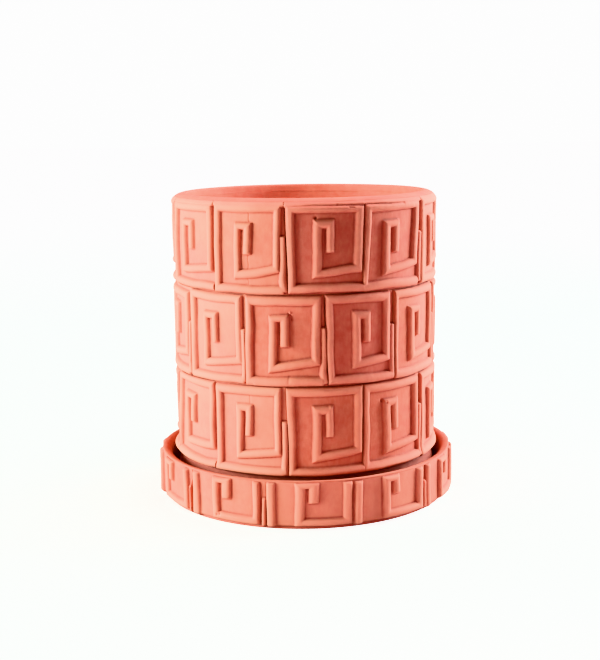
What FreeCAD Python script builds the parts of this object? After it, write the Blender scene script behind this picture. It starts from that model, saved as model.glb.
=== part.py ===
import FreeCAD, Part
import math
import os

os.makedirs("parts", exist_ok=True)

# Driving dimensions in millimetres, angles in degrees

# The pot
pot_crest_radius = 127.0      # over the raised beads, half of a 254 mm body
pot_wall = 14.0               # from the crest of a bead to the inside of the pot
pot_floor = 8.5               # clay floor of the pot
pot_rise = 285.0              # from the foot of the pot to the top of its rim coil
foot_step = 1.7               # the plain foot stands back this far from the crests
drain_radius = 9.0            # drain hole in the middle of the pot's floor
rim_coil_show = 2.2           # height of the rim coil over the upper tiles
rim_coil_seat = 5.0           # how far the coil reaches down behind those tiles
rim_coil_step = 1.4           # the coil stands back this far from the crests
course_gap = 1.2              # open joint between two courses of tiles
tile_tuck = 1.7               # the lowest tiles start this far below the saucer's rim

# The saucer
saucer_gap = 7.5              # between the pot's foot and the saucer's wall
saucer_wall = 11.8            # from the crest of a bead to the inside of the wall
saucer_floor = 8.0            # clay floor of the saucer
saucer_rise = 46.6            # from the ground to the top of the saucer's rim coil
saucer_rim_show = 3.6         # height of the saucer's rim coil
saucer_rim_step = 0.8         # that coil stands back this far from the crests
saucer_base_step = 5.8        # the base disc stands back this far from the crests
saucer_toe = 3.5              # the strips start this far above the ground

# The pressed tiles, with their square spiral of raised beads
tiles_round = 11
flats_per_tile = 4            # each tile is eased round the wall in four flats
courses = ("lower", "middle", "upper")
seam_gap = 1.0                # open joint between two neighbours of a course
tile_slab = 5.5               # thickness of a pot tile's ground
strip_slab = 4.0              # thickness of a saucer strip's ground
bead_relief = 3.2             # crest of a bead over the ground
bead_width = 7.6              # at the foot of a bead
tail_width = 3.6              # the narrow tail of the spiral at the right edge
bead_draft = 1.5              # how far each side of a bead leans in
inner_sag = 4.2               # slope of the inner bottom bead
pot_seam = -7.9               # azimuth of a seam of the lower and upper courses
saucer_seam = -15.0           # azimuth of a seam of the saucer's strips

# Centre lines of the upright beads, as shares of a tile's width
left_share = 0.0625
inner_left_share = 0.372
core_share = 0.528
right_share = 0.872
tail_share = 0.963

# Centre lines and ends on a pot tile, as shares of its height
bottom_share = 0.052
inner_bottom_share = 0.2245
core_end_share = 0.438
tail_end_share = 0.62
inner_top_share = 0.757
top_share = 0.943

# The same on a saucer strip, which shows only the middle of the spiral
strip_bottom_share = 0.055
strip_core_end_share = 0.54
strip_tail_end_share = 0.66
strip_top_share = 0.99

# Rounded top edges of the two coils, as shares of the height that shows
outer_round_share = 0.8
inner_round_share = 0.95
round_steps = 2               # straight steps in each rounded edge

# Derived sizes
pot_inside_radius = pot_crest_radius - pot_wall
pot_ground_radius = pot_crest_radius - bead_relief
tile_back_radius = pot_ground_radius - tile_slab
foot_radius = pot_crest_radius - foot_step
rim_coil_radius = pot_crest_radius - rim_coil_step
pot_base = saucer_floor
pot_top = pot_base + pot_rise
tiles_top = pot_top - rim_coil_show
coil_seat = tiles_top - rim_coil_seat
lowest_tile = saucer_rise - tile_tuck
course_rise = (tiles_top + course_gap - lowest_tile) / len(courses)
tile_height = course_rise - course_gap
saucer_inside_radius = foot_radius + saucer_gap
saucer_crest_radius = saucer_inside_radius + saucer_wall
saucer_ground_radius = saucer_crest_radius - bead_relief
strip_back_radius = saucer_ground_radius - strip_slab
saucer_base_radius = saucer_crest_radius - saucer_base_step
saucer_coil_radius = saucer_crest_radius - saucer_rim_step
strips_top = saucer_rise - saucer_rim_show
strip_height = strips_top - saucer_toe
tile_angle = 360.0 / tiles_round
flat_angle = tile_angle / flats_per_tile
flats_round = tiles_round * flats_per_tile
half_bead = bead_width / 2
root = bead_relief / 2        # the beads are rooted this deep in the ground
spare = bead_relief           # how far a cutting shape runs past what it cuts

pot_axis = FreeCAD.Vector(0, 0, 0)
up = FreeCAD.Vector(0, 0, 1)


# Geometry helpers

def at(radius, azimuth, height):
    """A point at an azimuth, counted round to the right from the front."""
    turn = math.radians(azimuth)
    return FreeCAD.Vector(radius * math.sin(turn), -radius * math.cos(turn), height)


def degrees_along(length, radius):
    return math.degrees(length / radius)


def plane_face(points):
    return Part.Face(Part.makePolygon(points + points[:1]))


def section_face(section, azimuth):
    return plane_face([at(radius, azimuth, height) for radius, height in section])


def flats(section, azimuths):
    """The flat outer faces of a (radius, height) section carried from azimuth to azimuth."""
    faces = []
    closed = section + section[:1]
    for start, end in zip(azimuths, azimuths[1:]):
        for this, following in zip(closed, closed[1:]):
            faces.append(plane_face([
                at(this[0], start, this[1]),
                at(following[0], start, following[1]),
                at(following[0], end, following[1]),
                at(this[0], end, this[1]),
            ]))
    return faces


def solid_of(faces):
    solid = Part.Solid(Part.Shell(faces))
    if solid.Volume < 0:
        solid.reverse()
    return solid


def flatted_band(section, azimuths):
    """A stretch of wall with flats and two end faces."""
    ends = [section_face(section, azimuths[0]), section_face(section, azimuths[-1])]
    return solid_of(flats(section, azimuths) + ends)


def flatted_ring(section, seam):
    """A closed ring, whose flats line up with the tiles that have a seam at this azimuth."""
    azimuths = [seam + flat_angle * i for i in range(flats_round)]
    return solid_of(flats(section, azimuths + azimuths[:1]))


def flatted_drum(radius, bottom, top, seam):
    """A solid prism, whose flats line up with the backs of the tiles."""
    outline = [at(radius, seam + flat_angle * i, bottom) for i in range(flats_round)]
    return plane_face(outline).extrude(up * (top - bottom))


def drum(radius, bottom, top):
    return Part.makeCylinder(radius, top - bottom, FreeCAD.Vector(0, 0, bottom))


def rounded_edge(radius, height, size, start, end):
    """Points of a rounded edge about a centre, from a start to an end angle."""
    points = []
    for i in range(round_steps + 1):
        angle = math.radians(start + (end - start) * i / round_steps)
        points.append((radius + size * math.cos(angle), height + size * math.sin(angle)))
    return points


def coil_top(inside, outside, top, show):
    """The rounded upper half of a coil, from its outer side over to its inner side."""
    outer = show * outer_round_share
    inner = show * inner_round_share
    return (
        rounded_edge(outside - outer, top - outer, outer, 0, 90)
        + rounded_edge(inside + inner, top - inner, inner, 90, 180)
    )


# The pressed relief

def make_wall(back, ground, height):
    """The ground slab of one tile, centred on the front, and the skin that bounds its beads."""
    margin = degrees_along(seam_gap / 2, ground)
    half = tile_angle / 2
    corners = [flat_angle * i - half for i in range(1, flats_per_tile)]
    azimuths = [margin - half] + corners + [half - margin]
    crest = ground + bead_relief
    slab = [(back, 0), (ground, 0), (ground, height), (back, height)]
    skin = [(ground - root, 0), (crest, 0), (crest, height), (ground - root, height)]
    return {
        "ground": ground,
        "corners": [-half - flat_angle, -half] + corners + [half, half + flat_angle],
        "slab": flatted_band(slab, azimuths),
        "skin": flatted_band(skin, azimuths),
    }


def bead(wall, left, right, low, high, slope=0.0):
    """One straight bead with leaning sides, between two azimuths and two heights."""
    ground = wall["ground"]
    rise = bead_relief + spare
    lean = bead_draft / bead_relief * rise
    section = [
        (ground - root, low),
        (ground, low),
        (ground + rise, low + lean),
        (ground + rise, high - lean),
        (ground, high),
        (ground - root, high),
    ]
    bar = flatted_band(section, wall["corners"])
    if slope:
        bar.rotate(at(0, 0, (low + high) / 2), at(1, (left + right) / 2, 0), -slope)
    turn = degrees_along(lean, ground)
    below = low - spare - spare
    cheeks = plane_face([
        at(ground - root - spare, left, below),
        at(ground, left, below),
        at(ground + rise, left + turn, below),
        at(ground + rise, right - turn, below),
        at(ground, right, below),
        at(ground - root - spare, right, below),
    ])
    between = cheeks.extrude(up * (high + spare + spare - below))
    return bar.common(between).common(wall["skin"])


def upright(wall, share, low, high, width=bead_width):
    """A standing bead on a centre line given as a share of the tile's width."""
    azimuth = (share - 0.5) * tile_angle
    reach = degrees_along(width / 2, wall["ground"])
    return bead(wall, azimuth - reach, azimuth + reach, low, high)


def level(wall, left, right, height, slope=0.0, end_width=bead_width):
    """A lying bead that ends at the outer sides of the two uprights it joins."""
    left_reach = degrees_along(half_bead, wall["ground"])
    right_reach = degrees_along(end_width / 2, wall["ground"])
    start = (left - 0.5) * tile_angle - left_reach
    end = (right - 0.5) * tile_angle + right_reach
    return bead(wall, start, end, height - half_bead, height + half_bead, slope)


def join(wall, beads):
    """Ground and beads as the one pressed piece that they are."""
    return wall["slab"].fuse(beads).removeSplitter().Solids[0]


def pot_tile():
    """A near-square tile with the whole spiral, from its core out to its tail."""
    wall = make_wall(tile_back_radius, pot_ground_radius, tile_height)
    bottom = bottom_share * tile_height
    inner_bottom = inner_bottom_share * tile_height
    core_end = core_end_share * tile_height
    tail_end = tail_end_share * tile_height
    inner_top = inner_top_share * tile_height
    top = top_share * tile_height
    span = math.radians((right_share - inner_left_share) * tile_angle) * pot_ground_radius
    sag = math.tan(math.radians(inner_sag)) * span / 2
    return join(wall, [
        upright(wall, core_share, core_end, inner_top + half_bead),
        level(wall, inner_left_share, core_share, inner_top),
        upright(wall, inner_left_share, inner_bottom - sag - half_bead, inner_top + half_bead),
        level(wall, inner_left_share, right_share, inner_bottom, slope=inner_sag),
        upright(wall, right_share, inner_bottom + sag - half_bead, top + half_bead),
        level(wall, left_share, right_share, top),
        upright(wall, left_share, bottom - half_bead, top + half_bead),
        level(wall, left_share, tail_share, bottom, end_width=tail_width),
        upright(wall, tail_share, bottom - half_bead, tail_end, tail_width),
    ])


def saucer_strip():
    """A low strip with the middle of the spiral, cut off by the rim and the base."""
    wall = make_wall(strip_back_radius, saucer_ground_radius, strip_height)
    bottom = strip_bottom_share * strip_height
    core_end = strip_core_end_share * strip_height
    tail_end = strip_tail_end_share * strip_height
    top = strip_top_share * strip_height
    under = bottom - bead_width
    over = top + bead_width
    return join(wall, [
        upright(wall, core_share, core_end, over),
        level(wall, inner_left_share, core_share, top),
        upright(wall, inner_left_share, under, over),
        level(wall, inner_left_share, right_share, bottom),
        upright(wall, right_share, under, over),
        upright(wall, left_share, under, over),
        upright(wall, tail_share, under, tail_end, tail_width),
    ])


# The plain pieces

def pot_liner():
    """Smooth inner cylinder with its floor, which carries the tiles outside."""
    outside = flatted_drum(tile_back_radius, pot_base, coil_seat, pot_seam)
    cavity = drum(pot_inside_radius, pot_base + pot_floor, coil_seat + spare)
    drain = drum(drain_radius, pot_base - spare, pot_base + pot_floor + spare)
    return outside.cut(cavity).cut(drain)


def pot_foot_band():
    """Plain band round the foot of the liner, below the lowest tiles."""
    section = [
        (tile_back_radius, pot_base),
        (foot_radius, pot_base),
        (foot_radius, lowest_tile),
        (tile_back_radius, lowest_tile),
    ]
    return flatted_ring(section, pot_seam)


def pot_rim_coil():
    """Rolled lip that caps the liner and the top edge of the upper tiles."""
    section = [
        (pot_inside_radius, coil_seat),
        (tile_back_radius, coil_seat),
        (tile_back_radius, tiles_top),
        (rim_coil_radius, tiles_top),
    ]
    lip = coil_top(pot_inside_radius, rim_coil_radius, pot_top, rim_coil_show)
    return flatted_ring(section + lip, pot_seam)


def saucer_tray():
    """Round tray: a floor disc with an upright wall that carries the strips."""
    base = drum(saucer_base_radius, 0, saucer_toe)
    wall = flatted_drum(strip_back_radius, saucer_toe, strips_top, saucer_seam)
    hollow = drum(saucer_inside_radius, saucer_floor, strips_top + spare)
    return base.fuse(wall).cut(hollow).removeSplitter().Solids[0]


def saucer_rim_coil():
    """Rounded coil on top of the saucer's wall and strips."""
    section = [(saucer_inside_radius, strips_top), (saucer_coil_radius, strips_top)]
    lip = coil_top(saucer_inside_radius, saucer_coil_radius, saucer_rise, saucer_rim_show)
    return flatted_ring(section + lip, saucer_seam)


# Placing and writing the pieces

def write(name, shape):
    shape.exportStep(f"parts/{name}.step")


def write_round(name, shape, seam, base):
    """The same piece all the way round, each copy in its own file."""
    for i in range(tiles_round):
        copy = shape.copy()
        copy.translate(up * base)
        copy.rotate(pot_axis, up, seam + tile_angle * (i + 0.5))
        write(f"{name}_{i + 1:02d}", copy)


def write_courses(tile):
    """The courses of tiles in running bond, every second one shifted by half a tile."""
    for i, course in enumerate(courses):
        shift = tile_angle / 2 if i % 2 else 0
        write_round(f"{course}_tile", tile, pot_seam + shift, lowest_tile + course_rise * i)


write("pot_liner", pot_liner())
write("pot_foot_band", pot_foot_band())
write("pot_rim_coil", pot_rim_coil())
write_courses(pot_tile())
write("saucer_tray", saucer_tray())
write("saucer_rim_coil", saucer_rim_coil())
write_round("saucer_strip", saucer_strip(), saucer_seam, saucer_toe)
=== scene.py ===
import math

import bpy
import numpy as np
from mathutils import Matrix, Vector


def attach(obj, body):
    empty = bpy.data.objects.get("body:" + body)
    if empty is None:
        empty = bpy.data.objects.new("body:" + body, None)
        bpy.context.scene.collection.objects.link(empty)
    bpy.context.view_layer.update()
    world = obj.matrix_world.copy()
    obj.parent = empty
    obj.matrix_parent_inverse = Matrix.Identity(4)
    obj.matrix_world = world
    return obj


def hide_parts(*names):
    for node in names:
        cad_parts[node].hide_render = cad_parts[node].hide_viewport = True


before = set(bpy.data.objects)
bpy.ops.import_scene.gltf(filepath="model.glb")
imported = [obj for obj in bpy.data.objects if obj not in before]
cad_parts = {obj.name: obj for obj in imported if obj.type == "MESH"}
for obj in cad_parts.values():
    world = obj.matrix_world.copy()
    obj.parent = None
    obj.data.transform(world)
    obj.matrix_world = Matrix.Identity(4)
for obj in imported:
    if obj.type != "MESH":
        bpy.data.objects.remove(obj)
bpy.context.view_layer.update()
print("frame: loaded", len(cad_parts), "nodes")

mm = 0.001  # Blender works in metres, and the sizes here are in millimetres, but for the studio's
tilesRound = 11
tileTurn = 360.0 / tilesRound
coarse = 1.0

# The two round walls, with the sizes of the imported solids
pot = {
    "crest": 127.2,       # radius over the beads
    "ground": 123.5,      # radius of the field between the beads
    "back": 118.3,        # backs of the tiles
    "inside": 113.0,
    "base": 8.0,          # where the foot stands on the saucer's floor
    "floor": 16.5,
    "lowestTile": 44.9,
    "toeDrop": 2.3,       # the foot of the lowest tiles was smeared down this far over the foot band
    "courseRise": 82.367,
    "courseGap": 1.2,
    "coilSeat": 285.8,
    "tilesTop": 290.8,
    "seam": -7.9,         # azimuth of one seam of the lower and upper courses
    "lean": 0.0038,       # the pot leans this much to the right
    "beadEnd": 1.6,       # mm over which a bead's free end rounds off
}
saucer = {
    "crest": 144.9,
    "ground": 141.3,
    "back": 137.4,
    "inside": 132.8,
    "base": 138.4,        # the edge that it stands on, drawn in under the strips
    "toe": 3.5,
    "floor": 8.0,
    "stripsTop": 44.2,
    "seam": -15.0,
    "lean": 0.0,
    "beadEnd": 2.6,
}


# Weights that turn a few random values into a smooth row of many. The hand's unevenness gets
# into every shape this way.
def spread(count, cells, closed=False):
    t = np.linspace(0, cells, count, endpoint=not closed)
    cell = np.minimum(t.astype(int), cells - 1)
    f = t - cell
    taps = ((1 - f) ** 3, 3 * f**3 - 6 * f**2 + 4, 3 * f + 3 * f**2 - 3 * f**3 + 1, f**3)
    weights = np.zeros((count, cells + 3))
    for i, tap in enumerate(taps):
        weights[np.arange(count), cell + i] += tap / 6
    if closed:
        weights[:, :3] += weights[:, cells:]
        weights = weights[:, :cells]
    return weights


# Smooth unevenness over a grid, about 1 high
def uneven(seed, rows, columns, rowCells, columnCells, closed=False):
    down, along = spread(rows, rowCells), spread(columns, columnCells, closed)
    values = np.random.default_rng(seed).standard_normal((down.shape[1], along.shape[1]))
    return down @ values @ along.T * 1.8  # what the smoothing took off


# Smooths a grid of heights a number of times over
def soften(heights, times):
    for _ in range(times):
        padded = np.pad(heights, 1, mode="edge")
        heights = (padded[:-2] + 2 * padded[1:-1] + padded[2:])[:, 1:-1] / 4
        padded = np.pad(heights, 1, mode="edge")
        heights = (padded[:, :-2] + 2 * padded[:, 1:-1] + padded[:, 2:])[1:-1] / 4
    return heights


# A point on the round wall: azimuth 0 is the front, and it counts round to the right
def onWall(radius, azimuth, height, lean):
    a = np.radians(azimuth)
    x, y = radius * np.sin(a), -radius * np.cos(a)
    z = height + 0 * x
    return np.stack([x + lean * z, y, z], axis=-1).reshape(-1, 3) * mm


# Each slab was pressed from its own lump of clay: above 0 is a paler lump, below 0 a redder one.
# A slab that isn't named here gets a random one between the limits.
# The lowest values, on the upper and middle tiles in front, the foot band and the tray, are partly painted
# shade: they darken and redden what lies between the lights and in the gap.
lumpsAndShade = {
    "limits": (-0.4, 0.4),
    "upper_tile_10": 0.3, "upper_tile_11": 0.2, "upper_tile_01": -1.0, "upper_tile_02": -0.9,
    "upper_tile_03": 0.5,
    "middle_tile_09": 0.6, "middle_tile_10": 0.8, "middle_tile_11": -0.3, "middle_tile_01": -1.0,
    "middle_tile_02": -0.1,
    "lower_tile_10": 0.6, "lower_tile_11": 0.7, "lower_tile_01": 0.0, "lower_tile_02": -0.1,
    "lower_tile_03": 0.6,
    "saucer_strip_11": 0.3, "saucer_strip_01": 0.7, "saucer_strip_02": 0.8, "saucer_strip_03": 0.3,
    "pot_foot_band": -0.8, "saucer_tray": -0.5,
}


def link(name, data):
    thing = bpy.data.objects.new(name, data)
    bpy.context.scene.collection.objects.link(thing)
    return thing


# A piece that stands for a solid. Its marks say how many faces are shaded smooth, and what the
# material needs to know point by point.
def newPiece(node, points, quads, triangles, material, marks):
    name = node + "_clay"
    mesh = bpy.data.meshes.new(name)
    mesh.vertices.add(len(points))
    mesh.vertices.foreach_set("co", points.astype(np.float32).ravel())
    corners = np.concatenate([np.ravel(quads), np.ravel(triangles)]).astype(np.int32)
    totals = np.array([4] * len(quads) + [3] * len(triangles), np.int32)
    mesh.loops.add(len(corners))
    mesh.loops.foreach_set("vertex_index", corners)
    mesh.polygons.add(len(totals))
    mesh.polygons.foreach_set("loop_start", np.cumsum(totals) - totals)
    mesh.polygons.foreach_set("loop_total", totals)
    smooth = np.zeros(len(totals), bool)
    smooth[: marks["smoothFaces"]] = True
    mesh.polygons.foreach_set("use_smooth", smooth)
    # the crest share and the painted shade, point by point
    for key in ("crest", "paintedShade"):
        values = np.zeros(len(points), np.float32)
        if key in marks:
            values[: marks[key].size] = marks[key].ravel()
        mesh.attributes.new(key, "FLOAT", "POINT").data.foreach_set("value", values)
    values = np.full(len(points), lumpsAndShade.get(node, marks.get("lump", 0.0)), np.float32)
    mesh.attributes.new("lump", "FLOAT", "POINT").data.foreach_set("value", values)
    mesh.update(calc_edges=True)
    mesh.validate()
    mesh.materials.append(material)
    piece = link(name, mesh)
    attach(piece, "saucer" if node.startswith("saucer") else "pot")
    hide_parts(node)
    return piece


def linear(hexColour):
    parts = [int(hexColour[i : i + 2], 16) / 255 for i in (1, 3, 5)]
    return [c / 12.92 if c <= 0.04045 else ((c + 0.055) / 1.055) ** 2.4 for c in parts] + [1.0]


def freshTree(owner):
    owner.use_nodes = True
    owner.node_tree.nodes.clear()
    return owner.node_tree


def addNode(tree, kind, settings=None, links=None):
    node = tree.nodes.new(kind)
    for key, value in (settings or {}).items():
        if isinstance(key, int) or key in node.inputs:
            node.inputs[key].default_value = value
        else:
            setattr(node, key, value)
    for key, source in (links or {}).items():
        tree.links.new(source, node.inputs[key])
    return node


# Terracotta: iron-rich earthenware, fired once and left unglazed. It is dry and matt, with a
# fine sandy grain, faint clouds from the kiln, paler bead crests, painted shade in the creases,
# under the lowest edges and high on the foot band, and a pinhole here and there.
clay = {
    "body": "#AE5E4D",
    "pale": "#CB8674",      # bead crests, pale patches and the paler pieces
    "deep": "#AA554D",      # iron-rich clouds and the redder pieces, partly painted shade
    "shadeColour": "#883E38",       # painted shade in the creases, under the lowest edges and high on the foot band
    "speck": "#86402F",     # grog and iron specks
    "cloud": 60.0,          # mm across
    "patch": 9.0,           # mm across
    "speckSize": 1.4,       # grog is about 0.5 mm, drawn coarser so that it shows
    "grain": 0.8,           # sand is about 0.3 mm, drawn coarser so that it shows
    "pinholes": 5.0,        # mm apart
    "pinholeSize": (0.03, 0.09),  # its floor and its edge, as shares of that
    "ior": 1.5,
    "specular": 0.4,
    "roughness": (0.78, 0.92),
}


# pressed: the face of a slab that came out of a mould, wiped: a ring that was run over with a
# wet sponge while it turned, which leaves fine level lines
def terracotta(name, streakSize, streakStretch):
    material = bpy.data.materials.new(name)
    tree = freshTree(material)
    place = addNode(tree, "ShaderNodeTexCoord").outputs["Object"]
    stretched = addNode(tree, "ShaderNodeMapping", {"Scale": streakStretch}, {"Vector": place})
    patterns = {}
    for key, size, detail, rough, where in (
        ("cloud", clay["cloud"], 3.0, 0.50, place),
        ("patch", clay["patch"], 4.0, 0.55, place),
        ("speck", clay["speckSize"], 2.0, 0.50, place),
        ("grain", clay["grain"], 3.0, 0.70, place),
        ("streak", streakSize, 3.0, 0.55, stretched.outputs["Vector"]),
    ):
        settings = {"Scale": 1 / (size * mm), "Detail": detail, "Roughness": rough}
        patterns[key] = addNode(tree, "ShaderNodeTexNoise", settings, {"Vector": where}).outputs["Fac"]
    for key in ("crest", "paintedShade", "lump"):  # worked out piece by piece and kept on the mesh
        patterns[key] = addNode(tree, "ShaderNodeAttribute", {"attribute_name": key}).outputs["Fac"]

    # one wash of colour over another: where it lies, between which values it sets in, how strong
    colour = None
    for key, start, full, strength, shade in (
        # paler and redder pieces; the redder values are partly painted shade
        ("lump", 0.00, 1.00, 0.70, "pale"),
        ("lump", 0.00, -1.00, 0.70, "deep"),
        ("cloud", 0.35, 0.68, 0.50, "deep"),
        ("patch", 0.35, 0.70, 0.25, "pale"),
        ("crest", 0.00, 1.00, 0.42, "pale"),
        # painted shade in the creases, under the lowest edges and high on the foot band
        ("paintedShade", 0.00, 1.00, 0.85, "shadeColour"),
        ("streak", 0.45, 0.75, 0.12, "pale"),
        ("speck", 0.70, 0.78, 0.35, "speck"),
    ):
        amount = addNode(tree, "ShaderNodeMapRange",
                         {"From Min": start, "From Max": full, "To Max": strength},
                         {"Value": patterns[key]})
        links = {0: amount.outputs["Result"]}
        if colour:
            links[6] = colour
        colour = addNode(tree, "ShaderNodeMix",
                         {"data_type": "RGBA", 6: linear(clay["body"]), 7: linear(clay[shade])},
                         links).outputs[2]

    pinhole = addNode(tree, "ShaderNodeTexVoronoi", {"Scale": 1 / (clay["pinholes"] * mm)},
                      {"Vector": place})
    holeFloor, holeEdge = clay["pinholeSize"]
    patterns["pinhole"] = addNode(tree, "ShaderNodeMapRange", {"From Min": holeFloor, "From Max": holeEdge},
                                  {"Value": pinhole.outputs["Distance"]}).outputs["Result"]
    normal = None  # each bump is laid over the last: its pattern, how strong, how deep in mm
    for key, strength, depth in (("grain", 0.35, 0.12), ("streak", 0.40, 0.25), ("pinhole", 0.35, 0.20)):
        links = {"Height": patterns[key]}
        if normal:
            links["Normal"] = normal
        normal = addNode(tree, "ShaderNodeBump", {"Strength": strength, "Distance": depth * mm},
                         links).outputs["Normal"]

    smoothest, roughest = clay["roughness"]
    rough = addNode(tree, "ShaderNodeMapRange", {"To Min": smoothest, "To Max": roughest},
                    {"Value": patterns["patch"]})
    shader = addNode(tree, "ShaderNodeBsdfPrincipled",
                     {"IOR": clay["ior"], "Specular IOR Level": clay["specular"]},
                     {"Base Color": colour, "Roughness": rough.outputs["Result"], "Normal": normal})
    addNode(tree, "ShaderNodeOutputMaterial", None, {"Surface": shader.outputs[0]})
    return material


pressedTerracotta = terracotta("pressedTerracotta", streakSize=2.4, streakStretch=(1.0, 1.0, 0.35))
wipedTerracotta = terracotta("wipedTerracotta", streakSize=2.0, streakStretch=(0.25, 0.25, 1.0))
print("materials: pressed and wiped terracotta")

# The square spiral. One long bead winds from the foot of the tile to the core, and a narrow
# tail closes the right edge. Points are (u, z) in mm from the tile's lower left corner, halves
# are half the bead's width on each stretch.
spiral = {
    "mmRound": 72.0,
    "path": [(69.0, 4.2), (5.0, 4.2), (5.0, 76.0), (63.8, 76.0), (63.0, 21.5),
             (26.2, 17.0), (26.2, 61.0), (37.3, 61.0), (37.2, 35.3)],
    "halves": [4.1, 4.1, 4.0, 3.8, 3.9, 3.8, 3.5, 3.9],
    "tail": [(70.0, 51.0), (69.9, 26.0), (69.0, 12.0), (69.8, 2.0)],
    "tailHalves": [2.4, 2.6, 3.1],
    "nudge": {"path": 0.7, "tail": 0.4},  # mm by which the hand moved its points, on the tiles behind
}
# Every tile was finished by hand, so the ones that face the photograph have their own outlines
tileOutlines = {
    "upper_tile_10": {
        "path": [(80.0, 3.8), (4.8, 3.8), (2.6, 34.0), (5.4, 74.1), (67.4, 74.1), (67.3, 20.3),
                 (26.2, 16.4), (26.0, 59.8), (39.4, 59.8), (39.4, 35.0)],
        "halves": [3.8, 4.1, 4.1, 3.7, 3.8, 3.7, 3.6, 3.1, 3.7],
        "tail": None,
    },
    "upper_tile_11": {
        "path": [(70.9, 3.8), (5.0, 3.8), (5.3, 75.3), (65.4, 75.3), (63.8, 22.2),
                 (26.4, 16.6), (27.4, 59.8), (37.8, 59.8), (36.9, 34.3)],
        "halves": [3.9, 3.9, 3.8, 3.4, 3.9, 3.6, 3.2, 3.7],
        "tail": [(70.2, 51.5), (70.2, 28.0), (69.2, 13.0), (71.1, 2.0)],
        "tailHalves": [3.1, 3.2, 3.5],
    },
    "upper_tile_01": {
        "path": [(80.0, 4.6), (5.3, 4.6), (4.2, 74.3), (67.7, 74.3), (65.9, 22.0),
                 (28.5, 17.8), (28.9, 61.2), (39.8, 61.2), (39.8, 36.3)],
        "halves": [4.2, 4.0, 3.5, 4.3, 4.0, 4.2, 4.1, 4.0],
        "tail": None,
    },
    "upper_tile_02": {
        "path": [(66.5, 4.6), (-0.2, 4.6), (3.2, 73.6), (64.4, 74.0), (61.4, 22.3),
                 (23.4, 17.2), (24.0, 58.6), (35.6, 58.6), (35.2, 33.0)],
        "halves": [4.3, 3.9, 3.8, 4.2, 3.9, 4.5, 3.5, 3.9],
        "tail": [(69.6, 50.0), (69.6, 30.0), (69.2, 14.0), (69.6, 3.0)],
        "tailHalves": [3.1, 3.1, 3.0],
    },
    "upper_tile_03": {
        "path": [(69.0, 4.2), (5.0, 4.2), (5.0, 75.4), (63.8, 75.4), (63.0, 21.5),
                 (25.2, 18.4), (25.2, 58.6), (37.3, 58.6), (37.2, 35.3)],
        "halves": [4.1, 4.1, 4.0, 3.8, 3.9, 3.8, 3.5, 3.9],
        "tail": [(70.0, 51.0), (69.9, 26.0), (69.0, 12.0), (69.8, 2.0)],
        "tailHalves": [2.4, 2.6, 3.1],
    },
    "middle_tile_10": {
        "path": [(68.4, 3.8), (3.7, 3.8), (4.4, 77.0), (63.2, 77.0), (62.7, 21.3),
                 (23.8, 17.0), (23.7, 60.6), (36.1, 60.6), (35.8, 36.0)],
        "halves": [3.9, 4.1, 3.9, 3.7, 3.7, 3.5, 3.2, 3.3],
        "tail": [(67.9, 51.5), (67.9, 24.0), (67.6, 2.0)],
        "tailHalves": [3.0, 3.1],
    },
    "middle_tile_11": {
        "path": [(69.4, 4.3), (1.6, 4.3), (1.4, 77.0), (63.8, 76.8), (62.6, 22.5),
                 (23.2, 16.6), (24.0, 60.9), (34.9, 61.3), (34.6, 35.6)],
        "halves": [4.3, 3.9, 4.2, 4.1, 4.1, 4.0, 3.4, 4.3],
        "tail": [(70.2, 52.5), (70.1, 28.0), (68.8, 12.5), (71.2, 2.0)],
        "tailHalves": [3.0, 3.1, 3.7],
    },
    "middle_tile_01": {
        "path": [(68.4, 4.7), (4.0, 4.7), (2.4, 77.2), (59.6, 77.2), (59.6, 22.0),
                 (28.3, 18.2), (28.0, 62.1), (38.1, 61.3), (38.0, 36.9)],
        "halves": [4.2, 3.7, 4.2, 4.3, 4.0, 4.3, 3.9, 3.8],
        "tail": [(65.8, 52.0), (66.1, 20.0), (66.5, 2.0)],
        "tailHalves": [3.3, 3.2],
    },
    "middle_tile_02": {
        "path": [(69.0, 4.4), (-1.0, 4.4), (-1.0, 77.0), (60.6, 77.0), (60.9, 21.5),
                 (22.1, 18.0), (21.2, 60.9), (31.9, 60.9), (31.6, 35.6)],
        "halves": [4.4, 3.7, 4.0, 4.2, 4.0, 4.3, 3.8, 3.9],
        "tail": [(68.6, 52.0), (68.6, 20.0), (68.7, 2.0)],
        "tailHalves": [3.2, 3.2],
    },
    "lower_tile_10": {
        "path": [(80.0, 4.0), (-2.0, 4.0), (7.8, 78.0), (66.6, 78.0), (66.0, 21.0),
                 (24.8, 18.8), (24.0, 62.3), (37.4, 62.3), (35.2, 37.8)],
        "halves": [4.0, 4.0, 3.8, 3.7, 3.9, 3.6, 3.4, 4.2],
        "tail": None,
    },
    "lower_tile_11": {
        "path": [(69.7, 3.7), (3.1, 3.7), (3.9, 76.8), (63.7, 76.8), (63.3, 21.8),
                 (25.9, 17.0), (25.8, 60.8), (35.7, 60.8), (35.3, 35.5)],
        "halves": [4.0, 3.9, 4.1, 3.4, 3.9, 3.7, 3.4, 3.8],
        "tail": [(70.5, 51.0), (70.3, 26.0), (69.2, 10.0), (69.9, 1.0)],
        "tailHalves": [3.1, 3.2, 3.5],
    },
    "lower_tile_01": {
        "path": [(80.0, 3.9), (4.3, 3.9), (3.1, 76.8), (66.3, 76.8), (65.6, 21.8),
                 (26.6, 16.8), (27.2, 60.5), (38.2, 60.5), (38.1, 35.2)],
        "halves": [4.0, 4.3, 4.1, 4.3, 4.1, 4.2, 4.2, 4.0],
        "tail": None,
    },
    "lower_tile_02": {
        "path": [(70.5, 4.6), (1.4, 4.6), (1.4, 76.6), (64.4, 76.6), (65.0, 22.0),
                 (25.8, 17.4), (24.6, 61.1), (34.9, 61.1), (34.9, 35.0)],
        "halves": [4.2, 3.8, 4.1, 4.2, 4.0, 4.8, 3.6, 3.9],
        "tail": [(71.9, 52.5), (72.0, 26.0), (72.0, 2.0)],
        "tailHalves": [3.2, 3.2],
    },
}
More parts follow.
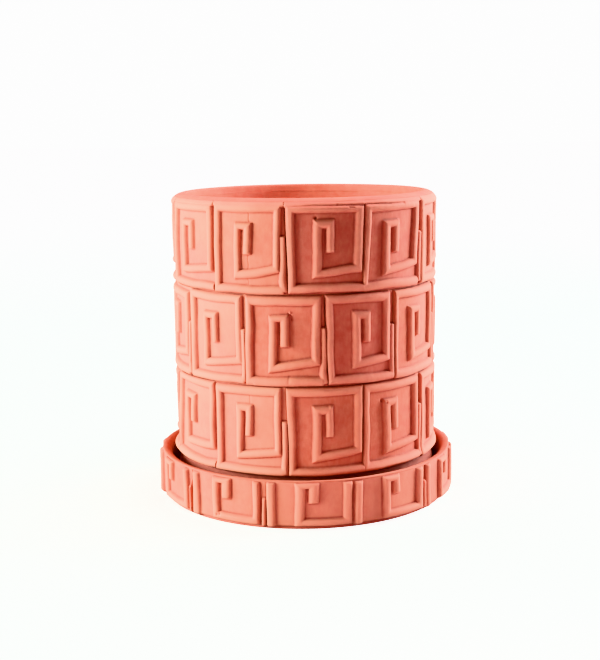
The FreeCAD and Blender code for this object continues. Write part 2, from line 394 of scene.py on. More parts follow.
# How a bead, the field and the cut edges look close up. A size is how many mm an unevenness
# takes from one rise to the next.
bead = {
    "step": 0.5,          # mm between grid points
    "crown": 2.3,         # how flat the crest is
    "flank": 0.50,        # how steep the sides are
    "mitreFrom": 0.3,     # a corner that turns by less, as a sine, gets no mitre
    "levelFrom": 0.7,     # a bead counts as level from this share of its length sideways
    "tailRise": 0.9,      # the tails and the smeared lip are this much as high as the beads
    "waver": 0.35,        # mm that the outline wanders
    "waverSize": 13,
    "swell": 0.06,        # share by which the crest rises and falls
    "swellSize": 18,
    "ripple": 0.10,       # mm of the long marks that fingers leave along a bead
    "rippleLength": 26,
    "rippleWidth": 1.7,
    "field": 0.11,        # mm of unevenness of the ground
    "fieldSize": 16,
    "grit": 0.03,
    "gritSize": 2.5,
    "creaseReach": 8,     # times that the face is softened to find its creases
    "creaseDepth": 1.6,   # how soon the painted shade darkens in deeper creases
    "shadeTop": 1.2,       # mm up from the foot of the lowest slabs, where their painted shade ends
    "shadeFade": 2,
    "crumb": 2.6,         # grid points to a crumb where the clay is torn
    "crumbFade": 1.5,     # mm over which the torn place sets in
    "edgeRound": 0.5,     # mm by which the cut edges fall away
    "edgeReach": 1.0,
    "seamGap": 0.4,
    "seamWaver": 0.10,    # degrees
    "seamBends": 4,
    "overlap": 0.3,       # mm by which each course closes up to the joint, above and below
    "jointWave": 0.35,    # mm by which a joint between courses rises and falls
    "baseWave": 0.15,     # the same at the foot of the pot
    "stripWave": 0.1,     # and at the foot of the saucer
    "jointBends": 22,
}


# Height of a bead across its width, from 1 in the middle to 0 at its sides, where t is 1
def crossSection(t):
    return np.clip(1 - np.abs(t) ** bead["crown"], 0, 1) ** bead["flank"]


# Height from 0 to 1 of a run of beads, mitred at its corners and rounded at its free ends, and
# where it runs level
def beadRun(u, z, path, halves, end):
    p = np.array(path, float)
    along = np.diff(p, axis=0)
    lengths = np.hypot(along[:, 0], along[:, 1])
    along /= lengths[:, None]
    across = np.stack([-along[:, 1], along[:, 0]], axis=1)
    mitres = [None]
    for k in range(1, len(along)):
        lines = np.array([across[k - 1], across[k]])
        if abs(np.linalg.det(lines)) < bead["mitreFrom"]:
            mitres.append(across[k])
        else:
            mitres.append(np.linalg.solve(lines, [halves[k - 1], halves[k]]))
    mitres.append(None)

    def beyond(mitre, corner, direction):
        side = mitre[0] * (z - corner[1]) - mitre[1] * (u - corner[0])
        return side * np.sign(mitre[0] * direction[1] - mitre[1] * direction[0]) >= 0

    height = np.zeros_like(u)
    level = np.zeros(u.shape, bool)
    for k in range(len(along)):
        du, dz = u - p[k, 0], z - p[k, 1]
        forward = du * along[k, 0] + dz * along[k, 1]
        sideways = du * across[k, 0] + dz * across[k, 1]
        h = crossSection(sideways / halves[k])
        if mitres[k] is None:
            h = h * crossSection(1 - np.clip(forward / end, 0, 1))
        else:
            h = h * beyond(mitres[k], p[k], along[k])
        if mitres[k + 1] is None:
            h = h * crossSection(1 - np.clip((lengths[k] - forward) / end, 0, 1))
        else:
            h = h * beyond(mitres[k + 1], p[k + 1], -along[k])
        level = np.where(h > height, abs(along[k, 0]) > bead["levelFrom"], level)
        height = np.maximum(height, h)
    return height, level


# A tile or strip: its face is a grid of points between two seams and two joints, and edges and
# a back close it to a solid slab. Where a seam was smoothed over by hand it doesn't show. Its
# size is (width, height, reach below, reach above), and the limit says how far it may stand out.
def pressSlab(node, origin, turnPerMm, size, runs, edges, wallSizes, seed, marks, limit=None):
    width, height, below, above = size
    step = bead["step"] * coarse
    columns, rows = int(width / step) + 1, int((below + height + above) / step) + 1
    share, z = np.meshgrid(np.linspace(0, 1, columns), np.linspace(-below, height + above, rows))
    left, right, low, high = edges
    leftEdge, rightEdge = left(z), right(z)
    azimuth = leftEdge * (1 - share) + rightEdge * share
    u = (azimuth - origin) / turnPerMm
    fromLeft = (azimuth - leftEdge) / turnPerMm + left.healed(z)
    fromRight = (rightEdge - azimuth) / turnPerMm + right.healed(z)

    def wander(k, across, up):
        cells = max(2, int(height / up)), max(2, int(width / across))
        return uneven(seed * 10 + k, rows, columns, *cells)

    uw = u + bead["waver"] * wander(1, bead["waverSize"], bead["waverSize"])
    zw = z + bead["waver"] * wander(2, bead["waverSize"], bead["waverSize"])
    h = np.zeros_like(u)
    ripple = np.zeros_like(u)
    alongLevel = wander(6, bead["rippleLength"], bead["rippleWidth"])
    alongUpright = wander(7, bead["rippleWidth"], bead["rippleLength"])
    for path, halves, rise in runs:
        run, level = beadRun(uw, zw, path, halves, wallSizes["beadEnd"])
        run = run * rise
        ripple = np.where(run > h, np.where(level, alongLevel, alongUpright), ripple)
        h = np.maximum(h, run)
    relief = wallSizes["crest"] - wallSizes["ground"]
    swell = bead["swell"] * wander(3, bead["swellSize"], bead["swellSize"])
    lift = h * relief * (1 + swell) + bead["ripple"] * ripple * h
    lift = soften(lift, 1) + bead["field"] * wander(4, bead["fieldSize"], bead["fieldSize"])
    lift = lift + bead["grit"] * wander(5, bead["gritSize"], bead["gritSize"])
    for mark in marks:
        lift = lift + mark(u, z)
    if limit:
        lift = np.minimum(lift, limit(z) + lip["waver"] * wander(8, *lip["waverSize"]))
    # painted shade in the creases: the further the face lies below its softened self, the darker
    paintedShade = np.clip((soften(lift, bead["creaseReach"]) - lift) * bead["creaseDepth"], 0, 1)
    if below > bead["overlap"]:  # painted shade under the lowest edges, where they overhang
        paintedShade = np.maximum(paintedShade, np.clip((bead["shadeTop"] - z) / bead["shadeFade"], 0, 1))
    rim = np.minimum(fromLeft, fromRight)
    for away, sharp in ((z + below, low.sharp), (height + above - z, high.sharp)):
        if sharp:
            rim = np.minimum(rim, away)
    lift = lift - (1 - np.clip(rim / bead["edgeReach"], 0, 1)) ** 2 * bead["edgeRound"]
    top, bottom = high(azimuth), low(azimuth)
    upright = bottom + (top - bottom) * z / height
    front = onWall(wallSizes["ground"] + lift, azimuth, upright, wallSizes["lean"])
    ends = [onWall(wallSizes["back"] + 0 * azimuth[k], azimuth[k], upright[k], wallSizes["lean"])
            for k in (0, -1)]
    points = np.concatenate([front] + ends)
    grid = np.arange(rows * columns).reshape(rows, columns)
    lower = rows * columns + np.arange(columns)
    upper = lower + columns

    def quads(a, b, c, d):
        return np.stack([a, b, c, d], axis=-1).reshape(-1, 4)

    face = quads(grid[:-1, :-1], grid[:-1, 1:], grid[1:, 1:], grid[1:, :-1])
    under = quads(lower[:-1], lower[1:], grid[0, 1:], grid[0, :-1])
    over = quads(upper[:-1], grid[-1, :-1], grid[-1, 1:], upper[1:])
    back = quads(lower[:-1], upper[:-1], upper[1:], lower[1:])
    middle = rows // 2
    sides = []
    for column, flip in ((0, False), (columns - 1, True)):
        strip = grid[:, column]
        foot, head = lower[column], upper[column]
        fan = [(foot, strip[k], strip[k + 1]) for k in range(middle)]
        fan += [(head, strip[k], strip[k + 1]) for k in range(middle, rows - 1)]
        fan.append((foot, strip[middle], head))
        sides += [t[::-1] for t in fan] if flip else fan
    faces = np.concatenate([face, under, over, back])
    look = {
        "smoothFaces": len(face),
        "lump": np.random.default_rng(seed).uniform(*lumpsAndShade["limits"]),
        "crest": np.clip(h, 0, 1) ** 2,
        "paintedShade": paintedShade,
    }
    newPiece(node, points, faces, sides, pressedTerracotta, look)


# Seams between neighbours lean and waver a little, and both neighbours share them. A seam is
# (azimuth at its foot, azimuth at its head, heights below and above which it was smoothed over).
def seamLine(seam, seed, gapSide, wallSizes, height):
    bends = spread(64, bead["seamBends"])
    values = bends @ (np.random.default_rng(seed).standard_normal(bends.shape[1]) * bead["seamWaver"])
    gap = math.degrees(bead["seamGap"] / 2 / wallSizes["ground"]) * gapSide
    foot, head, smoothed = seam

    def healed(z):
        return np.clip(np.maximum(smoothed[0] - z, z - smoothed[1]), 0, bead["edgeReach"])

    def line(z):
        share = z / height
        closed = healed(z) / bead["edgeReach"]
        waver = np.interp(share, np.linspace(0, 1, len(values)), values)
        return foot + (head - foot) * share + waver + gap * (1 - closed)

    line.healed = healed
    return line


# Joints between courses rise and fall a little round the pot
def jointLine(height, seed, wave, sharp=True):
    bends = spread(360, bead["jointBends"], closed=True)
    values = bends @ np.random.default_rng(seed).standard_normal(bends.shape[1]) * wave
    values = np.append(values, values[0])
    degrees = np.arange(-180, 181)

    def line(azimuth):
        return height + np.interp(azimuth, degrees, values, period=360)

    line.sharp = sharp
    return line


# An outline whose points the hand moved a little
def nudged(path, seed, amount):
    shifts = np.random.default_rng(seed).standard_normal((len(path), 2)) * amount
    return [(a + s, b + t) for (a, b), (s, t) in zip(path, shifts)]


# Marks of making: a scratch or crack along some points, and a pit or crumb at one point
def scratch(path, width, depth):
    def mark(u, z):
        nearest = np.full(u.shape, 1e9)
        for (ua, za), (ub, zb) in zip(path, path[1:]):
            du, dz = ub - ua, zb - za
            t = np.clip(((u - ua) * du + (z - za) * dz) / (du * du + dz * dz), 0, 1)
            nearest = np.minimum(nearest, np.hypot(u - ua - t * du, z - za - t * dz))
        return -depth * np.exp(-((nearest / width) ** 2))

    return mark


def pit(uPit, zPit, width, depth):
    return lambda u, z: -depth * np.exp(-((u - uPit) ** 2 + (z - zPit) ** 2) / width**2)


# Torn, crumbly clay inside a box (u, z, u, z)
def torn(box, seed, amount):
    def mark(u, z):
        rows, columns = u.shape
        rough = uneven(seed, rows, columns, int(rows / bead["crumb"]), int(columns / bead["crumb"]))
        inside = np.minimum(np.minimum(u - box[0], box[2] - u), np.minimum(z - box[1], box[3] - z))
        return amount * rough * np.clip(inside / bead["crumbFade"], 0, 1)

    return mark


tileHeight = pot["courseRise"] - pot["courseGap"]
lip = {
    "crown": 115.0,         # radius of the highest ring
    "shoulderDepth": 12.6,  # from there out to the beads
    "shoulderFrom": 283.0,
    "shoulderRise": 10.1,
    "innerRound": 2.0,
    "innerDrop": 1.9,
    "waver": 0.25,          # mm that its clay wanders over the tiles
    "waverSize": (9, 5),    # mm along and up
    "smear": [(-20.0, 80.0), (95.0, 80.0)],  # a run of clay along the heads of the upper tiles
    "smearHalf": 3.9,
}


# The clay of the lip was smoothed down over the upper tiles, so their heads curve in under it
def shoulder(z):
    above = z + pot["tilesTop"] - tileHeight - lip["shoulderFrom"]
    lift = np.clip(above / lip["shoulderRise"], 0, 0.999)  # at 1 the root below drops too steeply
    return lip["crown"] + lip["shoulderDepth"] * np.sqrt(1 - lift**2) - pot["ground"]


# The lowest course was pressed down on the wheel: its foot spread a little, and its edge was
# rounded under with the thumb
def flare(amount, reach, under, underReach):
    return lambda u, z: (amount * np.clip(1 - z / reach, 0, 1) ** 1.5
                         - under * np.clip(1 - z / underReach, 0, 2) ** 2)


tileMarks = {
    "upper_tile_11": [scratch([(37.6, 72.0), (38.3, 69.5), (38.0, 66.5), (38.6, 64.0)], 0.45, 0.5),
                      scratch([(37.2, 34.0), (36.6, 30.0), (37.4, 26.0), (36.8, 22.0)], 0.40, 0.5),
                      scratch([(36.0, 13.0), (37.6, 11.5), (37.0, 8.5)], 0.45, 0.5),
                      scratch([(34.2, 9.2), (36.6, 9.0)], 0.45, 0.4)],
    "upper_tile_01": [pit(27.1, 66.6, 1.1, 2.2), scratch([(57.0, 75.2), (61.5, 74.8)], 0.7, 0.9),
                      scratch([(16.0, 79.0), (46.0, 78.2)], 1.3, 0.5),
                      scratch([(46.0, 78.2), (72.0, 77.0)], 1.4, 0.9)],
    "upper_tile_02": [torn((2.0, 72.0, 60.0, 79.0), 901, 0.07),
                      scratch([(2.0, 77.8), (20.0, 77.2), (44.0, 76.6)], 1.5, 0.8)],
    "middle_tile_11": [pit(39.6, 66.2, 0.9, -1.2),
                       scratch([(38.0, 66.0), (40.8, 63.6), (41.0, 60.0)], 0.6, 0.8),
                       torn((36.0, 2.0, 42.0, 10.5), 902, 0.32), torn((4.0, -1.0, 12.0, 2.5), 903, 0.35),
                       scratch([(37.5, 9.5), (38.6, 7.0), (37.8, 4.0)], 0.45, 0.2)],
    "middle_tile_02": [scratch([(28.6, 33.0), (29.4, 29.0), (30.4, 24.5)], 0.6, 0.35)],
    "middle_tile_01": [torn((24.0, 77.5, 50.0, 80.5), 904, 0.22)],
    "lower_tile_11": [scratch([(36.0, 73.0), (36.6, 70.0), (36.4, 65.5)], 0.45, 0.4)],
    "lower_tile_01": [scratch([(34.0, 79.0), (64.0, 78.8)], 0.5, 0.45),
                      torn((34.0, 61.5, 42.5, 65.5), 905, 0.25)],
    "lower_tile_02": [pit(19.2, 64.0, 1.4, 1.7), pit(23.4, 61.6, 1.0, 1.0), pit(24.6, 63.4, 0.8, -0.8)],
}
# Seams that the photograph shows, as (azimuth at the foot, azimuth at the head), by the tile on
# their right
tileSeams = {
    "upper_tile_10": (-73.4, -73.4), "upper_tile_11": (-40.3, -40.3), "upper_tile_01": (-6.9, -8.2),
    "upper_tile_02": (24.3, 24.8), "upper_tile_03": (57.6, 57.6),
    "middle_tile_10": (-56.3, -56.3), "middle_tile_11": (-25.2, -25.4), "middle_tile_01": (9.2, 7.6),
    "middle_tile_02": (40.0, 39.9),
    "lower_tile_10": (-73.0, -72.0), "lower_tile_11": (-40.8, -40.7), "lower_tile_01": (-7.1, -8.3),
    "lower_tile_02": (24.2, 24.4), "lower_tile_03": (58.8, 58.7),
    "saucer_strip_11": (-48.1, -48.1), "saucer_strip_01": (-14.6, -14.7),
    "saucer_strip_02": (16.6, 16.6), "saucer_strip_03": (50.6, 50.6),
}
# Between which heights a seam still shows. The other upper ones end where the lip was smeared
# down, and the rest show from foot to head.
smoothedOver = {
    "lower_tile_11": (17.0, 99.0), "lower_tile_02": (7.0, 99.0), "lower_tile_03": (4.0, 99.0),
    "upper_tile_11": (16.0, 78.5), "upper_tile_01": (-9.0, 80.5), "upper_tile_02": (7.0, 78.0),
    "upper_tile_03": (-9.0, 80.0), "upper_tile": (-9.0, 79.0), "rest": (-9.0, 99.0),
}


# The seam to the left of slab i, which lies at the azimuth plus i even turns unless it is drawn
def seamOf(course, i, azimuth):
    name = f"{course}_{i % tilesRound + 1:02d}"
    even = azimuth + tileTurn * i
    foot, head = tileSeams.get(name, (even, even))
    turn = round((even - foot) / 360) * 360
    usual = smoothedOver.get(course, smoothedOver["rest"])
    return foot + turn, head + turn, smoothedOver.get(name, usual)


# The seams to the left and right of slab i
def seamsBeside(course, i, azimuth, seed, wallSizes, height):
    left = seamLine(seamOf(course, i, azimuth), seed + i, 1, wallSizes, height)
    right = seamLine(seamOf(course, i + 1, azimuth), seed + (i + 1) % tilesRound, -1, wallSizes, height)
    return left, right


turnPerMm = tileTurn / spiral["mmRound"]
for c, course in enumerate(("lower_tile", "middle_tile", "upper_tile")):
    lowest, highest = c == 0, c == 2
    base = pot["lowestTile"] + pot["courseRise"] * c
    first = pot["seam"] + (tileTurn / 2 if c % 2 else 0)
    bottom = jointLine(base, 70 + c, bead["baseWave"] if lowest else bead["jointWave"], sharp=not lowest)
    top = jointLine(base + tileHeight, 71 + c, 0.0 if highest else bead["jointWave"], sharp=not highest)
    size = (spiral["mmRound"], tileHeight, pot["toeDrop"] if lowest else bead["overlap"],
            0.0 if highest else bead["overlap"])
    for i in range(tilesRound):
        name, seed = f"{course}_{i + 1:02d}", 100 * (c + 1) + i
        drawn = tileOutlines.get(name)
        if drawn:
            outline, tail = drawn["path"], drawn["tail"]
        else:
            drawn = spiral
            outline = nudged(spiral["path"], seed, spiral["nudge"]["path"])
            tail = nudged(spiral["tail"], seed + 7, spiral["nudge"]["tail"])
        runs = [(outline, drawn["halves"], 1.0)]
        if tail:
            runs.append((tail, drawn["tailHalves"], bead["tailRise"]))
        marks = list(tileMarks.get(name, []))
        if lowest:
            marks.append(flare(amount=3.4, reach=11.0, under=2.6, underReach=4.6))
        if highest:
            runs.append((lip["smear"], [lip["smearHalf"]], bead["tailRise"]))
        edges = (*seamsBeside(course, i, first, 1000 + 20 * c, pot, tileHeight), bottom, top)
        pressSlab(name, first + tileTurn * i, turnPerMm, size, runs, edges, pot, seed,
                  marks, shoulder if highest else None)
    print("pressed the course of", course)

# The saucer's strips show the middle band of the same spiral, and their beads run up into the rim
stripSpiral = {
    "mmRound": 82.0,
    "toeDrop": 1.6,       # the foot of the strips bulges down this far
    "path": [(72.0, 40.3), (72.0, 4.0), (31.0, 4.0), (31.0, 37.5), (42.4, 37.5), (42.4, 21.0)],
    "halves": [3.9, 3.5, 4.0, 2.9, 3.9],
    "left": [(4.2, 40.3), (4.2, -10.0)],
    "leftHalves": [3.8],
    "tail": [(80.0, 26.0), (79.8, 12.0), (79.6, -10.0)],
    "tailHalves": [2.1, 2.2],
    "nudge": {"path": 0.5, "left": 0.5, "tail": 0.3},
}
stripOutlines = {
    "saucer_strip_11": {
        "path": [(72.6, 40.3), (72.6, 4.0), (31.0, 4.0), (31.0, 37.6), (42.6, 37.6), (42.6, 20.5)],
        "halves": [3.6, 3.6, 4.2, 2.7, 4.6],
        "left": [(5.2, 40.4), (5.6, 20.0), (5.2, -10.0)],
        "leftHalves": [4.2, 4.6],
        "tail": [(80.6, 26.0), (80.3, 12.0), (80.1, -10.0)],
        "tailHalves": [2.1, 2.3],
    },
    "saucer_strip_01": {
        "path": [(74.8, 40.0), (74.8, 3.4), (31.2, 3.4), (31.2, 37.4), (43.6, 37.4), (43.6, 21.0)],
        "halves": [4.3, 3.6, 4.8, 2.7, 5.0],
        "left": [(5.0, 40.4), (4.8, -10.0)],
        "leftHalves": [4.2],
        "tail": None,
    },
    "saucer_strip_02": {
        "path": [(73.4, 40.3), (73.4, 4.2), (31.5, 4.2), (31.5, 37.5), (42.4, 37.5), (42.4, 22.0)],
        "halves": [4.4, 3.8, 4.2, 2.8, 3.8],
        "left": [(2.7, 40.3), (2.7, -10.0)],
        "leftHalves": [4.0],
        "tail": [(80.7, 27.0), (80.7, 12.0), (80.5, -10.0)],
        "tailHalves": [2.2, 2.3],
    },
}
stripMarks = {
    "saucer_strip_11": [pit(33.2, 5.2, 1.2, 1.3), pit(35.9, 6.0, 1.1, 1.6)],
}
stripTurnPerMm = tileTurn / stripSpiral["mmRound"]
stripHeight = saucer["stripsTop"] - saucer["toe"]
stripSize = (stripSpiral["mmRound"], stripHeight, stripSpiral["toeDrop"], 0.0)
stripFoot = jointLine(saucer["toe"], 90, bead["stripWave"])
stripHead = jointLine(saucer["stripsTop"], 91, 0.0, sharp=False)
stripFlare = flare(amount=0.0, reach=5.0, under=1.2, underReach=2.4)
for i in range(tilesRound):
    name, seed = f"saucer_strip_{i + 1:02d}", 500 + i
    drawn = stripOutlines.get(name)
    if not drawn:
        drawn = dict(stripSpiral)
        for key, amount in stripSpiral["nudge"].items():
            drawn[key] = nudged(stripSpiral[key], seed + len(key), amount)
    runs = [(drawn["path"], drawn["halves"], 1.0), (drawn["left"], drawn["leftHalves"], 1.0)]
    if drawn["tail"]:
        runs.append((drawn["tail"], drawn["tailHalves"], bead["tailRise"]))
    seams = seamsBeside("saucer_strip", i, saucer["seam"], 1100, saucer, stripHeight)
    pressSlab(name, saucer["seam"] + tileTurn * i, stripTurnPerMm, stripSize, runs,
              (*seams, stripFoot, stripHead), saucer, seed, stripMarks.get(name, []) + [stripFlare])
print("pressed the saucer's strips")


# Points of a rounded corner in (radius, height), about a centre
def corner(radius, height, rx, rz, start, end, count=8):
    angles = np.radians(np.linspace(start, end, count))
    return [(radius + rx * math.cos(t), height + rz * math.sin(t)) for t in angles]


# The closed profile again, with a point at least every step or so
def evenly(profile, step):
    p = np.array(profile, float)
    out = []
    for a, b in zip(p, np.roll(p, -1, axis=0)):
        n = max(1, int(round(np.hypot(*(b - a)) / step)))
        out += [a + (b - a) * k / n for k in range(n)]
    return np.array(out)


# How far the turned rings are from true
ring = {
    "radiusCells": (4, 40),  # profile points to a wave of the radius, and waves round
    "heightCells": (6, 24),  # the same for the height
    "heightShare": 0.5,      # the height wavers by this share of what the radius does
    "level": 1,              # mm above the floor, where it begins to waver
    "shadeRise": 5,           # mm up in which the painted shade sets in
    "sharpTurn": 40,         # degrees
    "apart": 0.1,            # mm between a ring and the backs of its slabs
    "clear": 0.3,            # mm between a ring and the slab above or below it
}


# A ring turned from a closed profile, which runs up outside, over the top and down inside. The
# profile's points are a step apart, the ring wavers by a few tenths of a mm, and painted shade
# darkens it from some height up.
def turnRing(node, profile, wallSizes, seed, step, waver, columns, shadedFrom=math.inf):
    columns = int(columns / coarse)
    p = evenly(profile, step)
    rows = len(p)
    azimuth = np.linspace(-180, 180, columns, endpoint=False)
    up, around = ring["radiusCells"]
    wave = uneven(seed, rows, columns, max(2, rows // up), around, closed=True) * waver
    up, around = ring["heightCells"]
    lift = uneven(seed + 1, rows, columns, max(2, rows // up), around, closed=True)
    lift = lift * waver * ring["heightShare"]
    keep = (p[:, 1:2] > wallSizes["floor"] + ring["level"]) * 1.0  # what stands on something stays level
    radius = p[:, 0:1] + wave * keep
    z = p[:, 1:2] + lift * keep
    points = onWall(radius, azimuth[None, :] + 0 * radius, z, wallSizes["lean"])
    grid = np.arange(rows * columns).reshape(rows, columns)
    a, b = grid, np.roll(grid, -1, axis=1)
    c, d = np.roll(b, -1, axis=0), np.roll(a, -1, axis=0)
    faces = np.stack([a, b, c, d], axis=-1).reshape(-1, 4)
    # painted shade on the ring from some height up
    look = {"smoothFaces": len(faces), "paintedShade": np.clip((z - shadedFrom) / ring["shadeRise"], 0, 1)}
    piece = newPiece(node, points, faces, np.zeros((0, 3), int), wipedTerracotta, look)
    piece.data.set_sharp_from_angle(angle=math.radians(ring["sharpTurn"]))


back = pot["back"] - ring["apart"]
coilEdge = pot["tilesTop"] - ring["clear"]
lipFrom = math.degrees(math.asin((coilEdge - lip["shoulderFrom"]) / lip["shoulderRise"]))
lipTop = lip["shoulderFrom"] + lip["shoulderRise"]
turnRing("pot_rim_coil",
         [(pot["inside"], pot["coilSeat"]), (back, pot["coilSeat"]), (back, coilEdge)]
         + corner(lip["crown"], lip["shoulderFrom"], lip["shoulderDepth"], lip["shoulderRise"], lipFrom, 90)
         + corner(pot["inside"] + lip["innerRound"], lipTop - lip["innerDrop"],
                  lip["innerRound"], lip["innerDrop"], 90, 180),
         pot, seed=31, step=1.0, waver=0.10, columns=720)

foot = {
    "outside": 125.3,
    "round": 2.0,
    "neck": 119.6,        # it is drawn in to this radius under the tiles
    "neckFrom": 33.0,     # from this height up
    "neckRise": 3.0,      # straight again this far below the tiles
}
footBack = pot["back"] + ring["apart"]
footHead = pot["lowestTile"] - ring["clear"]
# The foot band gets painted shade from where it is drawn in, up under the tiles
turnRing("pot_foot_band",
         [(footBack, pot["base"])]
         + corner(foot["outside"] - foot["round"], pot["base"] + foot["round"],
                  foot["round"], foot["round"], -90, 0)
         + [(foot["outside"], foot["neckFrom"]), (foot["neck"], pot["lowestTile"] - foot["neckRise"]),
            (foot["neck"], footHead), (footBack, footHead)],
         pot, seed=32, step=3.0, waver=0.25, columns=720, shadedFrom=foot["neckFrom"])

liner = {
    "drain": 9.0,
    "drainRound": 1.5,
    "insideRound": 6.0,
    "slip": 122.0,        # how far the slip fills the joints between the courses
    "slipRise": 1.0,      # to each side of a joint
}
joints = [pot["lowestTile"] + pot["courseRise"] * c - pot["courseGap"] / 2 for c in (1, 2)]
turnRing("pot_liner",
         [(liner["drain"], pot["base"]), (back, pot["base"])]
         + [(radius, joint + side * liner["slipRise"]) for joint in joints
            for radius, side in ((back, -1), (liner["slip"], -1), (liner["slip"], 1), (back, 1))]
         + [(back, pot["coilSeat"]), (pot["inside"], pot["coilSeat"])]
         + corner(pot["inside"] - liner["insideRound"], pot["floor"] + liner["insideRound"],
                  liner["insideRound"], liner["insideRound"], 0, -90, 6)
         + corner(liner["drain"] + liner["drainRound"], pot["floor"] - liner["drainRound"],
                  liner["drainRound"], liner["drainRound"], 90, 180, 5),
         pot, seed=33, step=4.0, waver=0.25, columns=360)

back = saucer["back"] - ring["apart"]
saucerRim = {
    "outside": 141.6,
    "round": 1.2,
    "innerReach": 7.4,    # how far its rounded top runs down and inward
    "innerDrop": 5.5,
    "top": 45.4,
    "seat": 39.8,
}
turnRing("saucer_rim_coil",
         [(saucer["inside"], saucerRim["seat"]), (back, saucerRim["seat"]), (back, saucer["stripsTop"]),
          (saucerRim["outside"], saucer["stripsTop"])]
         + corner(saucerRim["outside"] - saucerRim["round"], saucerRim["top"] - saucerRim["round"],
                  saucerRim["round"], saucerRim["round"], 0, 90)
         + corner(saucer["inside"] + saucerRim["innerReach"], saucerRim["top"] - saucerRim["innerDrop"],
                  saucerRim["innerReach"], saucerRim["innerDrop"], 90, 180),
         saucer, seed=34, step=1.0, waver=0.16, columns=720)

tray = {
    "middle": 0.5,        # radius at which its two faces close, in the middle
    "edge": 1.0,
    "insideRound": 5.0,
}
turnRing("saucer_tray",
         [(tray["middle"], 0.0), (saucer["base"] - tray["edge"], 0.0), (saucer["base"], tray["edge"]),
          (saucer["base"], saucer["toe"]), (back, saucer["toe"]), (back, saucerRim["seat"]),
          (saucer["inside"], saucerRim["seat"])]
         + corner(saucer["inside"] - tray["insideRound"], saucer["floor"] + tray["insideRound"],
                  tray["insideRound"], tray["insideRound"], 0, -90, 6)
         + [(tray["middle"], saucer["floor"])],
         saucer, seed=35, step=4.0, waver=0.25, columns=360)
print("turned the plain rings, the liner and the tray")

# A white studio, in metres: a broad light from the left, another from behind on the right, a
# small one over the mouth for the far wall inside, and a faint card low in front
studio = {
    "floorSize": 30,
    "floorColour": "#F4F3F2",
    "bounceColour": "#BCB4B5",
    "key": {"azimuth": -82, "elevation": 7, "distance": 1.5, "size": (1.4, 1.0), "watts": 154,
            "colour": "#E3FFF1"},
    "fill": {"azimuth": 112, "elevation": 20, "distance": 1.5, "size": (1.0, 1.2), "watts": 120,
             "colour": "#EAFFFA"},
    "top": {"azimuth": 0, "elevation": 82, "distance": 0.55, "size": (0.40, 0.06), "watts": 4.2,
            "colour": "#FFE6E0"},
    "card": {"azimuth": 8, "elevation": -12, "distance": 0.55, "size": (0.50, 0.06), "watts": 0.75,
             "colour": "#FFCDCC"},
    "aim": 0.15,             # height that they all point at
    "glow": (1.5, 3.0),      # of the paper beside the saucer, and further out
    "glowReach": (0.15, 0.40),
    "room": "#FFE3FB",       # faint rosy light from all round
    "roomLight": 0.10,
    "backdrop": 3.5,         # brightness that the camera sees behind
}

bpy.ops.mesh.primitive_plane_add(size=studio["floorSize"], location=(0, 0, 0))
floor = bpy.context.object
floor.name = "floor"
paper = bpy.data.materials.new("whitePaper")  # the floor that is seen is whiter than what it throws back
tree = freshTree(paper)
ray = addNode(tree, "ShaderNodeLightPath").outputs["Is Camera Ray"]
spot = addNode(tree, "ShaderNodeTexCoord").outputs["Object"]
far = addNode(tree, "ShaderNodeVectorMath", {"operation": "LENGTH"}, {0: spot}).outputs["Value"]
(nearAt, farAt), (nearGlow, farGlow) = studio["glowReach"], studio["glow"]
glow = addNode(tree, "ShaderNodeMapRange",
               {"From Min": nearAt, "From Max": farAt, "To Min": nearGlow, "To Max": farGlow,
                "interpolation_type": "SMOOTHSTEP"}, {"Value": far})
seen = addNode(tree, "ShaderNodeEmission", None, {"Strength": glow.outputs["Result"]})
matt = addNode(tree, "ShaderNodeBsdfDiffuse", {"Color": linear(studio["floorColour"])})
bounce = addNode(tree, "ShaderNodeBsdfDiffuse", {"Color": linear(studio["bounceColour"])})
shown = addNode(tree, "ShaderNodeAddShader", None, {0: matt.outputs[0], 1: seen.outputs[0]})
both = addNode(tree, "ShaderNodeMixShader", None, {0: ray, 1: bounce.outputs[0], 2: shown.outputs[0]})
addNode(tree, "ShaderNodeOutputMaterial", None, {"Surface": both.outputs[0]})
floor.data.materials.append(paper)

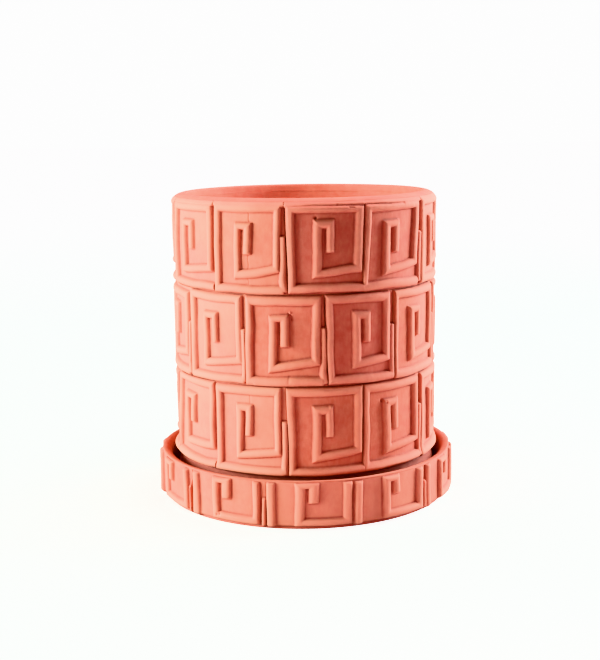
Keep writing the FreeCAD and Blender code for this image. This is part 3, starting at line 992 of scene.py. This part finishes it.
world = bpy.data.worlds.new("studio")
bpy.context.scene.world = world
tree = freshTree(world)
ray = addNode(tree, "ShaderNodeLightPath").outputs["Is Camera Ray"]
room = addNode(tree, "ShaderNodeBackground",
               {"Color": linear(studio["room"]), "Strength": studio["roomLight"]})
seen = addNode(tree, "ShaderNodeBackground", {"Color": (1, 1, 1, 1), "Strength": studio["backdrop"]})
both = addNode(tree, "ShaderNodeMixShader", None, {0: ray, 1: room.outputs[0], 2: seen.outputs[0]})
addNode(tree, "ShaderNodeOutputWorld", None, {"Surface": both.outputs[0]})

for name in ("key", "fill", "top", "card"):
    box = studio[name]
    lamp = bpy.data.lights.new(name, "AREA")
    lamp.shape = "RECTANGLE"
    lamp.size, lamp.size_y = box["size"]
    lamp.energy = box["watts"]
    lamp.color = linear(box["colour"])[:3]
    holder = link(name, lamp)
    a, e = math.radians(box["azimuth"]), math.radians(box["elevation"])
    away = Vector((math.sin(a) * math.cos(e), -math.cos(a) * math.cos(e), math.sin(e)))
    holder.location = Vector((0, 0, studio["aim"])) + away * box["distance"]
    holder.rotation_euler = away.to_track_quat("Z", "Y").to_euler()

bpy.context.scene.view_settings.view_transform = "Khronos PBR Neutral"
bpy.context.scene.view_settings.look = "Medium High Contrast"

# The photograph's view: 1168 mm in front, 362 mm up, pitched down, rolled by less than a degree
view = {"x": -4.2, "y": -1168.4, "z": 362.16, "pitch": 0.1743, "roll": 0.0136, "focalPixels": 1207.1,
        "imageHeight": 660}
eye = bpy.data.cameras.new("camera")
eye.sensor_width = 36.0
eye.lens = view["focalPixels"] * eye.sensor_width / view["imageHeight"]
camera = link("camera", eye)
p, r = view["pitch"], view["roll"]
ahead = Vector((0, math.cos(p), -math.sin(p)))
rightward = Vector((1, 0, 0))
upward = Vector((0, math.sin(p), math.cos(p)))
xAxis = rightward * math.cos(r) - upward * math.sin(r)
yAxis = rightward * math.sin(r) + upward * math.cos(r)
turned = Matrix((xAxis, yAxis, -ahead)).transposed().to_4x4()
camera.matrix_world = Matrix.Translation(Vector((view["x"], view["y"], view["z"])) * mm) @ turned
bpy.context.scene.camera = camera
print("studio set")
